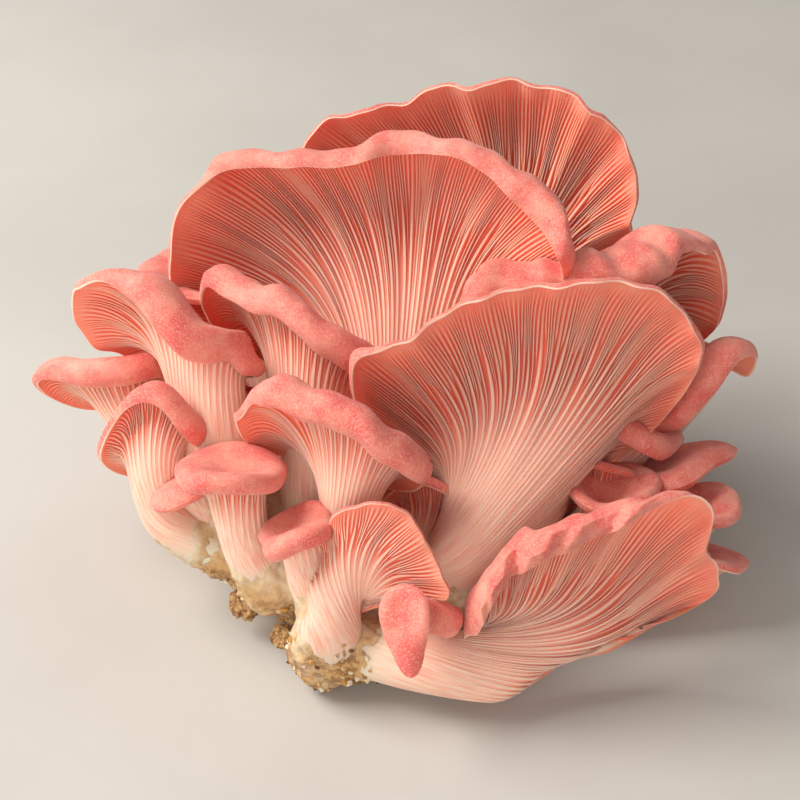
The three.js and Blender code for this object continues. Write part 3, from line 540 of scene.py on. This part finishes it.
# ---------------------------------------------------------------------------------------------
# The middling fruit bodies
# Younger caps of the same cluster, on longer stems, round the sides and the front. Their gills are shallower
# and run further down the stem.
# ---------------------------------------------------------------------------------------------
MIDDLING = [
    dict(
        name="left_tall",
        foot=(-33, -17, 9), middle=(-48, -10, 34), neck=(-49, 0, 51), foot_radius=11, neck_radius=9,
        top=(0.45, 0.7, 0.55), front=(-0.9, 0.25, 0.35), flesh=7.5, thickness=2.2, lip=4, slope=(40, 70),
        ruffles=((0.9, 6, 1), (0.5, 13, 0.2),),
        rim=[
            (-130, 12, -1, 30), (-80, 22, -3, 20), (-45, 28, -8, 10), (-20, 34, -10, 10),
            (0, 39, -7, 10), (14, 39, -3, 15), (25, 36, 0, 50), (45, 29, -3, 100), (65, 23, -6, 115),
            (85, 18, -5, 115), (110, 14, -2, 100), (140, 12, -4, 60), (170, 11, -2, 30),
        ],
    ),
    dict(
        name="left_far",
        foot=(-40, -8, 6), middle=(-62, -1, 20), neck=(-71, 10, 34), foot_radius=6, neck_radius=6,
        top=(-0.1, 0.7, 0.7), front=(-0.95, -0.1, 0.2), flesh=8, thickness=2, lip=3, slope=(60, 60),
        ruffles=((0.6, 6, 0),),
        rim=[
            (-90, 15, -3, 0), (-60, 17, -4, 0), (-25, 20, -2, 0), (-5, 23, 1, 10), (15, 21, 0, 50),
            (35, 18, -2, 90), (80, 17, -3, 100), (115, 17, -2, 80), (165, 12, -1, 30),
        ],
    ),
    dict(
        name="left_low",
        foot=(-42, -22, 12), middle=(-66, -22, 22), neck=(-62, -16, 36), foot_radius=6, neck_radius=6,
        top=(0.2, 0.95, 0.3), front=(-0.25, -0.15, 0.95), flesh=6, thickness=2, lip=2.8, slope=(60, 60),
        ruffles=((0.5, 7, 0.8),),
        rim=[
            (-130, 12, -4, 10), (-90, 12, -7, 10), (-55, 13, -8, 10), (-25, 15, -4, 25),
            (0, 19, -1, 60), (20, 21, 0, 90), (45, 18, -2, 105), (70, 16, -2, 100), (105, 13, 0, 60),
            (175, 12, 0, 20),
        ],
    ),
    dict(
        name="front_button",
        foot=(-32, -34, 14), middle=(-38, -35, 26), neck=(-39, -32, 31), foot_radius=7, neck_radius=6,
        top=(0.05, 0.1, 1), front=(-0.4, -0.9, 0.25), flesh=14, thickness=2.5, lip=2.5, slope=(60, 60),
        rim=[
            (-143, 19, -8, 50), (-107, 18, -8, 50), (-67, 16, -5, 60), (-36, 15, -3, 60),
            (-15, 15, -1, 60), (2, 14, 0, 60), (26, 13, 0, 60), (48, 12, -1, 60), (81, 11, -3, 60),
            (126, 11, -5, 50), (177, 15, -7, 50),
        ],
    ),
    dict(
        name="mid_left",
        foot=(-20, -20, 8), middle=(-23, -15, 31), neck=(-22, -2, 46), foot_radius=9, neck_radius=9,
        top=(0.2, 0.8, 0.55), front=(-0.5, -0.4, 0.75), flesh=9, thickness=2, lip=3.2, slope=(60, 60),
        ruffles=((0.9, 7, 0.5), (0.5, 15, 1.2),),
        rim=[
            (-85, 22, 4, 10), (-60, 30, 6, 15), (-38, 35, 9, 40), (-15, 30, 5, 80), (5, 27, 3, 100),
            (25, 25, -1, 115), (50, 23, -4, 120), (75, 22, -4, 110), (100, 20, -1, 70),
            (135, 18, 1, 30), (180, 15, 1, 20),
        ],
    ),
    dict(
        name="mid_centre",
        foot=(-12, -30, 14), middle=(-14, -35, 31), neck=(-12, -31, 39), foot_radius=7, neck_radius=6.5,
        top=(0.25, 0.65, 0.7), front=(-0.75, -0.4, 0.5), flesh=8, thickness=1.8, lip=2.9, slope=(60, 60),
        ruffles=((0.9, 7, 1.9), (0.5, 13, 0.4),),
        rim=[
            (-150, 14, -4, 20), (-109, 17, -2, 10), (-78, 22, -2, 0), (-63, 27, -2, 0),
            (-50, 30, -1, 5), (-36, 31, 1, 10), (-21, 31, 5, 40), (0, 32, 5, 90), (17, 30, 5, 105),
            (31, 29, 4, 110), (44, 28, 3, 115), (59, 28, 1, 115), (76, 26, -1, 115), (97, 23, -2, 100),
            (125, 19, -2, 70), (167, 16, -4, 40),
        ],
    ),
    dict(
        name="small_fan",
        foot=(-18, -48, 4), middle=(-17, -54, 18), neck=(-15, -51, 24), foot_radius=8, neck_radius=7.5,
        top=(-0.1, 0.95, -0.35), front=(0.6, 0.3, 0.75), flesh=4, thickness=1.3, lip=1.2, slope=(20, 20),
        flare=0.4, ruffles=((0.3, 11, 0.4), (0.25, 23, 1),),
        rim=[
            (-128, 7, 1, 0), (-71, 9, 0, 0), (-46, 15, -2, 0), (-38, 20, -5, 0), (-26, 23, -7, 0),
            (-13, 26, -9, 0), (-1, 27, -10, 0), (10, 26, -12, 0), (23, 25, -12, 0), (35, 25, -13, 0),
            (50, 25, -14, 0), (55, 18, -9, 0), (75, 10, -4, 0), (124, 8, 0, 0), (179, 7, 1, 0),
        ],
    ),
    dict(
        name="right_curled",
        foot=(30, -4, 6), middle=(58, 6, 14), neck=(77, 18, 32), foot_radius=6, neck_radius=7,
        top=(-0.55, 0.55, 0.6), front=(0.75, 0.05, 0.65), flesh=6, thickness=2, lip=3, slope=(60, 60),
        ruffles=((0.7, 7, 0.8),),
        rim=[
            (-100, 19, -11, 60), (-60, 20, -9, 60), (-35, 25, -6, 60), (-15, 25, -7, 60),
            (5, 18, -10, 60), (40, 14, 1, 60), (75, 14, 3, 60), (140, 15, 0, 60), (180, 17, 0, 60),
        ],
    ),
    dict(
        name="left_flap",
        foot=(-24, -4, 0), middle=(-30, 17, 20), neck=(-43, 37, 44), foot_radius=6, neck_radius=7,
        top=(-0.3, 0.2, 0.95), front=(-1, 0.1, 0.1), flesh=6, thickness=2, lip=2, slope=(30, 30),
        ruffles=((1.4, 6, 0.4), (0.8, 13, 1),),
        rim=[
            (-150, 15, 2, 10), (-90, 18, 6, 10), (-55, 21, 11, 10), (-20, 25, 13, 10), (5, 24, 12, 10),
            (30, 18, 11, 10), (60, 16, 8, 10), (110, 15, 4, 10), (165, 14, 0, 10),
        ],
    ),
    dict(
        name="back_low",
        foot=(8, 2, 4), middle=(20, 24, 8), neck=(34, 38, 20), foot_radius=6, neck_radius=8,
        top=(0.1, 0.75, 0.65), front=(0.9, 0.35, -0.1), flesh=7, thickness=2, lip=2.5, slope=(50, 50),
        ruffles=((0.8, 6, 0.8),),
        rim=[
            (-130, 17, 0, 20), (-70, 22, -4, 20), (-20, 26, -2, 20), (20, 24, -5, 20), (70, 18, -3, 20),
            (130, 15, -1, 20), (180, 14, 0, 20),
        ],
    ),
    dict(
        name="back_left",
        foot=(-14, 0, 4), middle=(-22, 24, 6), neck=(-26, 36, 18), foot_radius=6, neck_radius=7,
        top=(-0.3, 0.75, 0.6), front=(-0.85, 0.1, -0.4), flesh=6, thickness=2, lip=2.5, slope=(50, 50),
        ruffles=((0.7, 5, 0.3),),
        rim=[
            (-140, 15, 0, 20), (-80, 18, -3, 20), (-20, 22, -4, 20), (35, 19, -1, 20), (90, 17, -3, 20),
            (150, 14, -1, 20),
        ],
    ),
]
grow(MIDDLING, spacing=0.9, depth=0.8, rows=(14, 26, 4, 12))


# ---------------------------------------------------------------------------------------------
# The buttons and tips
# The smallest caps, which never opened fully: buttons with a rolled margin, and narrow tips pressed between
# their larger neighbours.
# ---------------------------------------------------------------------------------------------
BUTTONS = [
    dict(
        name="curl_button",
        foot=(-18, -42, 12), middle=(-23, -45, 26), neck=(-23, -42, 30), foot_radius=6, neck_radius=5,
        top=(-0.35, 0.2, 0.9), front=(-0.6, -0.75, 0.15), flesh=7, thickness=2.4, lip=2.2, slope=(60, 60),
        rim=[
            (-173, 11, -4, 40), (-142, 10, -4, 40), (-105, 8, -3, 40), (-12, 9, -3, 50),
            (3, 12, -4, 60), (46, 12, -3, 60), (74, 12, -4, 60), (131, 9, -6, 50),
        ],
    ),
    dict(
        name="finger",
        foot=(12, -55, 19), middle=(6, -58, 25), neck=(2, -61, 27), foot_radius=4, neck_radius=4.2,
        top=(-0.25, -0.5, 0.8), front=(0.1, -0.6, -0.8), flesh=4, thickness=1.6, lip=1.6, slope=(60, 60),
        velvet_all_over=True,
        rim=[
            (-150, 5, -1, 20), (-100, 5, -1, 20), (-55, 6, -2, 20), (-25, 9, -5, 20), (0, 14, -8, 20),
            (25, 9, -5, 20), (60, 6, -2, 20), (110, 5, -1, 20),
        ],
    ),
    dict(
        name="right_pointed",
        foot=(32, -14, 5), middle=(48, -12, 8), neck=(65, -3, 20), foot_radius=5, neck_radius=6,
        top=(-0.1, 0.3, 0.95), front=(1, 0.1, 0.2), flesh=5, thickness=2, lip=2, slope=(40, 40),
        rim=[
            (-110, 13, -3, 10), (-75, 17, -2, 10), (-30, 17, 0, 10), (5, 23, 0, 10), (40, 19, -2, 10),
            (70, 15, -4, 10), (120, 9, -5, 10),
        ],
    ),
    dict(
        name="right_fuzzy",
        foot=(28, -22, 10), middle=(40, -21, 15), neck=(51, -20, 20), foot_radius=5, neck_radius=6,
        top=(0.1, 0.2, 1), front=(0.2, -0.9, 0.35), flesh=6, thickness=2, lip=2, slope=(60, 60),
        rim=[
            (-165, 12, 2, 30), (-85, 10, 2, 30), (-30, 11, 1, 30), (10, 13, 3, 30), (60, 12, 4, 30),
            (120, 15, 3, 30), (160, 14, 2, 30),
        ],
    ),
    dict(
        name="right_tip",
        foot=(32, -26, 8), middle=(51, -25, 14), neck=(70, -24, 19), foot_radius=5, neck_radius=5,
        top=(0.35, 0.45, 0.85), front=(1, 0.05, 0.1), flesh=6, thickness=2, lip=2, slope=(60, 60),
        rim=[
            (-120, 9, 0, 20), (-60, 10, 0, 20), (-20, 11, 2, 20), (15, 12, 5, 20), (60, 16, 6, 20),
            (100, 12, 2, 20), (160, 9, 0, 20),
        ],
    ),
    dict(
        name="low_tip",
        foot=(32, -32, 3), middle=(52, -30, 7), neck=(71, -29, 11), foot_radius=5, neck_radius=5,
        top=(-0.1, 0.85, 0.45), front=(0.95, -0.2, -0.1), flesh=4, thickness=1.6, lip=2, slope=(50, 50),
        rim=[
            (-120, 6, -3, 10), (-50, 9, -5, 10), (-10, 14, -6, 10), (12, 18, -1, 10), (40, 13, 5, 10),
            (80, 9, 3, 10), (140, 7, 0, 10),
        ],
    ),
    dict(
        name="between_small",
        foot=(-28, -6, 4), middle=(-32, 4, 16), neck=(-37, 13, 28), foot_radius=4, neck_radius=4,
        top=(0, 0.5, 0.9), front=(-0.95, -0.05, 0.35), flesh=6, thickness=2, lip=2, slope=(60, 60),
        rim=[
            (-125, 11, 2, 20), (-70, 9, 3, 20), (-20, 8, 4, 20), (50, 9, 2, 20), (95, 12, 1, 20),
            (150, 9, 1, 20),
        ],
    ),
    dict(
        name="right_inner",
        foot=(28, -8, 6), middle=(46, -4, 14), neck=(58, 3, 25), foot_radius=6, neck_radius=6,
        top=(0.5, 0.7, 0.55), front=(0.55, -0.5, 0.7), flesh=7, thickness=2, lip=3, slope=(60, 60),
        rim=[
            (-110, 12, -2, 60), (-60, 15, -7, 60), (-25, 18, -9, 60), (5, 18, -8, 60), (35, 14, -2, 60),
            (80, 11, 2, 60), (165, 11, 2, 60),
        ],
    ),
    dict(
        name="right_crescent",
        foot=(26, -14, 7), middle=(38, -12, 12), neck=(49, -9, 18), foot_radius=5, neck_radius=5,
        top=(0.1, 0.45, 0.85), front=(0.45, -0.65, 0.65), flesh=5, thickness=1.6, lip=2, slope=(60, 60),
        rim=[
            (-110, 10, 3, 10), (-45, 11, 6, 10), (5, 11, 5, 10), (45, 12, 3, 10), (110, 12, 1, 10),
            (170, 11, 1, 10),
        ],
    ),
    dict(
        name="inner_dark",
        foot=(0, -26, 5), middle=(3, -24, 10), neck=(6, -21, 15), foot_radius=6, neck_radius=6,
        top=(0.1, 0.95, 0.35), front=(-0.15, -0.25, 0.95), flesh=6, thickness=2, lip=2, slope=(50, 50),
        rim=[
            (-130, 10, -2, 20), (-80, 12, -2, 30), (-30, 17, -2, 30), (0, 20, -1, 30), (30, 18, -2, 30),
            (80, 12, -2, 30), (150, 9, -2, 20),
        ],
    ),
    dict(
        name="button_left",
        foot=(-44, -20, 16), middle=(-48, -18, 22), neck=(-52, -17, 28), foot_radius=4, neck_radius=4,
        top=(-0.3, 0.25, 0.9), front=(-0.6, -0.75, 0.2), flesh=7, thickness=1.8, lip=2, slope=(70, 70),
        rim=[
            (-150, 12, -5, 20), (-90, 10, -5, 20), (-35, 10, -6, 20), (15, 13, -6, 20),
            (50, 13, -5, 20), (110, 10, -4, 20),
        ],
    ),
    dict(
        name="back_button",
        foot=(-2, 4, 5), middle=(-2, 20, 5), neck=(-2, 33, 12), foot_radius=5, neck_radius=5,
        top=(0.1, 0.7, 0.7), front=(0.2, -0.6, 0.7), flesh=7, thickness=2, lip=2, slope=(70, 70),
        rim=[
            (-120, 11, -3, 20), (-60, 12, -2, 20), (0, 13, -3, 20), (60, 11, -2, 20), (120, 12, -3, 20),
            (180, 11, -2, 20),
        ],
    ),
]
grow(BUTTONS, spacing=0.9, depth=0.6, rows=(12, 18, 4, 10))


# ---------------------------------------------------------------------------------------------
# The clump of mycelium
# Dense felted mycelium that the stems grow out of, cream where it is clean and crusted with bits of the
# substrate along its lower edge. It was cut from its block, so its foot is flat and it rests on that.
# ---------------------------------------------------------------------------------------------
CLUMP_MIDDLE = (-5, -18)
CLUMP_HEIGHT = 25
COLLAR_LIMIT = 41  # stems that start further out than this leave a neighbour, not the clump
# The reach of the foot round the middle, as (angle, reach), and the width up the mound, as (rise, share).
CLUMP_FOOT = [
    (-150, 24), (-110, 26), (-70, 24), (-25, 34), (10, 38), (60, 35), (110, 31), (150, 36), (180, 34),
]
CLUMP_PROFILE = [(0, 0.9), (0.12, 1.02), (0.35, 1.1), (0.6, 1.02), (0.82, 0.72), (0.95, 0.38)]


def mycelium_material():
    material, tree, shader = new_material("mycelium")
    where = shader_node(tree, "ShaderNodeTexCoord", {}, {}, output=3)
    height = shader_node(tree, "ShaderNodeSeparateXYZ", {}, {0: where}, output=2)
    broad = noise_on(tree, where, 70, 4, 0.6)
    fine = noise_on(tree, where, 420, 5, 0.65)
    specks = noise_on(tree, where, 900, 3, 0.7)
    cream = blend(tree, broad.between(0.35, 0.65), "E4D2B2", "C49C6A")
    low = (1 - height.between(0.012, 0.03)) * broad.between(0.25, 0.5)
    crust = blend(tree, fine.between(0.42, 0.58), "CFA268", "8A5A2E")
    colour = blend(tree, low * 0.85, cream, crust)
    colour = blend(tree, specks.between(0.66, 0.74) * low, colour, "4A2E18")
    join(tree, shader.inputs["Base Color"], colour)
    join(tree, shader.inputs["Roughness"], 0.75 + 0.15 * fine)
    relief = fine * 0.7 + specks * 0.3
    bump = shader_node(tree, "ShaderNodeBump", {}, {"Height": relief, "Strength": 0.6, "Distance": 0.0008})
    join(tree, shader.inputs["Normal"], bump)
    shader.inputs["Subsurface Weight"].default_value = 0.2
    shader.inputs["Subsurface Radius"].default_value = (1.0, 0.7, 0.45)
    shader.inputs["Subsurface Scale"].default_value = 0.002
    return material


def clump_mesh():
    """The mound and the swollen bases of the stems, run together into one skin."""
    columns, rings = 96, 30
    rises = np.linspace(0, 0.97, rings)
    widths = np.interp(rises, *zip(*CLUMP_PROFILE))
    angles = np.arange(columns) * 360 / columns
    reach = around(CLUMP_FOOT, angles)[:, 0]
    x = CLUMP_MIDDLE[0] + np.outer(widths, reach * np.cos(np.radians(angles)))
    y = CLUMP_MIDDLE[1] + np.outer(widths, reach * np.sin(np.radians(angles)))
    z = np.repeat((CLUMP_HEIGHT * rises - RESTING_SHIFT[2])[:, None], columns, axis=1)
    points = np.vstack([
        np.stack([x, y, z], axis=-1).reshape(-1, 3),
        [*CLUMP_MIDDLE, -RESTING_SHIFT[2]],
        [*CLUMP_MIDDLE, CLUMP_HEIGHT - RESTING_SHIFT[2]],
    ])
    ring = np.arange(columns)
    after = (ring + 1) % columns
    faces = []
    for row in range(rings - 1):
        low, high = row * columns, (row + 1) * columns
        faces += np.stack([low + ring, low + after, high + after, high + ring], axis=1).tolist()
    bottom, crown = len(points) - 2, len(points) - 1
    faces += [[bottom, (j + 1) % columns, j] for j in range(columns)]
    last = crown - 1 - columns
    faces += [[crown, last + k, last + (k + 1) % columns] for k in range(columns)]
    mesh = bpy.data.meshes.new("mycelium_clump")
    mesh.from_pydata(((points + RESTING_SHIFT) * MM).tolist(), [], faces)
    return mesh


clump = bpy.data.objects.new("mycelium_clump_grown", clump_mesh())
bpy.context.scene.collection.objects.link(clump)
bpy.ops.object.select_all(action="DESELECT")
for body in LARGE_FANS + MIDDLING + BUTTONS:
    foot, middle, neck = (np.array(body[k], float) for k in ("foot", "middle", "neck"))
    if body.get("velvet_all_over") or math.dist(foot[:2], CLUMP_MIDDLE) > COLLAR_LIMIT:
        continue
    for t in np.linspace(0, 0.4, 5):
        centre = (1 - t)**2 * foot + 2 * t * (1 - t) * middle + t * t * neck
        radius = body["foot_radius"] * (1.22 - 0.7 * t)
        centre[2] = max(centre[2], radius - RESTING_SHIFT[2] + 0.3)
        bpy.ops.mesh.primitive_ico_sphere_add(
            subdivisions=3, radius=radius * MM, location=((centre + RESTING_SHIFT) * MM).tolist()
        )
bpy.ops.object.select_all(action="DESELECT")
for o in bpy.context.scene.objects:
    if o.name.startswith("Icosphere"):
        o.select_set(True)
clump.select_set(True)
bpy.context.view_layer.objects.active = clump
bpy.ops.object.join()
remesh = clump.modifiers.new("one skin", "REMESH")
remesh.mode = "VOXEL"
remesh.voxel_size = 0.8 * MM
bpy.ops.object.modifier_apply(modifier=remesh.name)
smooth = clump.modifiers.new("run together", "SMOOTH")
smooth.factor = 0.8
smooth.iterations = 10
bpy.ops.object.modifier_apply(modifier=smooth.name)
outwards = [vertex.normal.copy() for vertex in clump.data.vertices]
for vertex, outward in zip(clump.data.vertices, outwards):
    place = vertex.co.copy()
    lumps = noise.fractal(place * 160, 0.8, 2.0, 4) * 0.9 + noise.noise(place * 900) * 0.25
    place += outward * lumps * min(1.0, place.z / 0.003) * MM
    vertex.co = (place.x, place.y, max(place.z, 0.0))
bpy.ops.object.shade_smooth()
clump.data.materials.append(mycelium_material())
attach(clump, "root")
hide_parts("mycelium_clump")


# ---------------------------------------------------------------------------------------------
# The substrate crumbs
# Bits of the straw and sawdust block that came away with the clump: a few large crumbs under its front
# edge, and a crust of small grains stuck to the felt.
# ---------------------------------------------------------------------------------------------
CRUMBS = [((-46, -14, 4), 7), ((-39, -30, 3), 8), ((-29, -40, 1), 6), ((-20, -49, -1), 5), ((-53, -4, 6), 6)]


def substrate_material():
    material, tree, shader = new_material("substrate")
    where = shader_node(tree, "ShaderNodeTexCoord", {}, {}, output=3)
    grain = noise_on(tree, where, 600, 4, 0.6)
    colour = blend(tree, grain.between(0.35, 0.65), "C9A06B", "7A4E28")
    join(tree, shader.inputs["Base Color"], colour)
    join(tree, shader.inputs["Roughness"], 0.8 + 0.1 * grain)
    bump = shader_node(tree, "ShaderNodeBump", {}, {"Height": grain, "Strength": 0.6, "Distance": 0.0006})
    join(tree, shader.inputs["Normal"], bump)
    return material


substrate = substrate_material()


GRAIN_TRIES = 520
GRAINLESS_HEIGHT = 0.026  # the grains thin out with height, and none would sit this high


def grain_mesh():
    """A few hundred specks of sawdust and mycelium, crusted on the front and left of the clump's foot."""
    chance = np.random.RandomState(5)
    golden = (1 + 5**0.5) / 2
    corners = np.array([
        (-1, golden, 0), (1, golden, 0), (-1, -golden, 0), (1, -golden, 0), (0, -1, golden), (0, 1, golden),
        (0, -1, -golden), (0, 1, -golden), (golden, 0, -1), (golden, 0, 1), (-golden, 0, -1), (-golden, 0, 1),
    ]) / 1.9
    sides = np.array([
        (0, 11, 5), (0, 5, 1), (0, 1, 7), (0, 7, 10), (0, 10, 11), (1, 5, 9), (5, 11, 4), (11, 10, 2),
        (10, 7, 6), (7, 1, 8), (3, 9, 4), (3, 4, 2), (3, 2, 6), (3, 6, 8), (3, 8, 9), (4, 9, 5), (2, 4, 11),
        (6, 2, 10), (8, 6, 7), (9, 8, 1),
    ])
    seats = [
        vertex.co.copy()
        for vertex in clump.data.vertices
        if vertex.normal.x * 0.5 + vertex.normal.y < 0.1
        and 0.001 < vertex.co.z < 0.02
        and vertex.co.x < 0.004
    ]
    points, faces, tones = [], [], []
    for _ in range(GRAIN_TRIES):
        seat = seats[chance.randint(len(seats))]
        if chance.uniform() < seat.z / GRAINLESS_HEIGHT:
            continue
        size = MM * chance.uniform(0.35, 1.2) * (1 - 0.4 * chance.uniform())
        stretch = size * chance.uniform(0.6, 1.4, 3)
        turn = np.linalg.qr(chance.normal(size=(3, 3)))[0]
        turned = corners @ (turn * np.linalg.det(turn))
        rough = turned * (1 + 0.2 * chance.uniform(-1, 1, (12, 1)))
        place = rough * stretch + np.array(seat)
        place[:, 2] = np.maximum(place[:, 2], 0)
        faces += (sides + 12 * len(tones)).tolist()
        points += place.tolist()
        tones.append(chance.uniform())
    mesh = bpy.data.meshes.new("grains")
    mesh.from_pydata(points, [], faces)
    attribute = mesh.attributes.new("tone", "FLOAT", "POINT")
    attribute.data.foreach_set("value", np.repeat(tones, 12).astype(np.float32))
    return mesh


def grain_material():
    material, tree, shader = new_material("grains")
    tone = shader_node(tree, "ShaderNodeAttribute", {"attribute_name": "tone"}, {}, output=2)
    where = shader_node(tree, "ShaderNodeTexCoord", {}, {}, output=3)
    speckle = noise_on(tree, where, 1500, 3, 0.6)
    colour = blend(tree, tone.between(0.2, 0.55), "E9DCC0", "C8954F")
    colour = blend(tree, tone.between(0.75, 0.95), colour, "5E3C1E")
    colour = blend(tree, speckle.between(0.5, 0.7) * 0.5, colour, "8E6236")
    join(tree, shader.inputs["Base Color"], colour)
    join(tree, shader.inputs["Roughness"], 0.75 + 0.2 * speckle)
    bump = shader_node(tree, "ShaderNodeBump", {}, {"Height": speckle, "Strength": 0.6, "Distance": 0.0003})
    join(tree, shader.inputs["Normal"], bump)
    return material


grains = bpy.data.objects.new("clump_crust", grain_mesh())
bpy.context.scene.collection.objects.link(grains)
grains.data.materials.append(grain_material())
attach(grains, "root")

for index, (at, width) in enumerate(CRUMBS):
    place = Vector((np.array(at) + RESTING_SHIFT) * MM)
    bpy.ops.object.select_all(action="DESELECT")
    bpy.ops.mesh.primitive_ico_sphere_add(subdivisions=4, radius=width / 2 * MM, location=place)
    crumb = bpy.context.object
    crumb.name = f"substrate_crumb_{index + 1}_grain"
    bpy.ops.object.transform_apply(location=True, rotation=False, scale=False)
    for vertex in crumb.data.vertices:
        lump = noise.fractal(vertex.co * 500, 0.7, 2.0, 4)
        vertex.co = place + (vertex.co - place) * (1 + 0.35 * lump)
    crumb.data.materials.append(substrate)
    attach(crumb, "root")
    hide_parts(f"substrate_crumb_{index + 1}")


# ---------------------------------------------------------------------------------------------
# The studio
# A plain pale floor, a large soft light from the upper left, a weaker one low in front, and the camera
# looking down on the gilled side of the cluster.
# ---------------------------------------------------------------------------------------------
def floor_material():
    material, tree, shader = new_material("pale_floor")
    where = shader_node(tree, "ShaderNodeTexCoord", {}, {}, output=3)
    broad = noise_on(tree, where, 9, 4)
    fine = noise_on(tree, where, 260, 4, 0.6)
    colour = blend(tree, broad.between(0.3, 0.7), "C1BCB4", "C9C4BC")
    join(tree, shader.inputs["Base Color"], colour)
    join(tree, shader.inputs["Roughness"], 0.8 + 0.1 * fine)
    bump = shader_node(tree, "ShaderNodeBump", {}, {"Height": fine, "Strength": 0.1, "Distance": 0.0005})
    join(tree, shader.inputs["Normal"], bump)
    return material


bpy.ops.mesh.primitive_plane_add(size=6, location=(0, 0, 0))
floor = bpy.context.object
floor.name = "floor"
floor.data.materials.append(floor_material())

scene = bpy.context.scene
scene.view_settings.view_transform = "Standard"
world = bpy.data.worlds.new("studio")
scene.world = world
world.use_nodes = True
world.node_tree.nodes["Background"].inputs["Color"].default_value = (1.0, 0.985, 0.96, 1)
world.node_tree.nodes["Background"].inputs["Strength"].default_value = 0.34


def soft_light(name, place, aim, size, power, colour):
    light = bpy.data.lights.new(name, "AREA")
    light.size = size
    light.energy = power
    light.color = colour
    lamp = bpy.data.objects.new(name, light)
    lamp.location = place
    lamp.rotation_euler = (Vector(aim) - Vector(place)).to_track_quat("-Z", "Y").to_euler()
    scene.collection.objects.link(lamp)


soft_light("window", (-0.7, 0.05, 0.78), (0, 0, 0.04), 0.6, 12.5, (1.0, 0.985, 0.96))
soft_light("reflector", (-0.3, -0.95, 0.3), (0, 0, 0.05), 0.8, 6, (1.0, 0.97, 0.94))

ELEVATION = math.radians(35)
AIM = Vector(((RESTING_SHIFT + [0, 0, 45]) * MM).tolist())
DISTANCE = 0.48
VIEW_WIDTH = 0.2032  # what the camera takes in across, at the aim
camera_data = bpy.data.cameras.new("camera")
camera_data.sensor_width = 36
camera_data.lens = camera_data.sensor_width * DISTANCE / VIEW_WIDTH
camera_data.clip_start = 0.01
camera = bpy.data.objects.new("camera", camera_data)
camera.location = AIM + DISTANCE * Vector((0, -math.cos(ELEVATION), math.sin(ELEVATION)))
camera.rotation_euler = (math.radians(90) - ELEVATION, 0, 0)
scene.collection.objects.link(camera)
scene.camera = camera
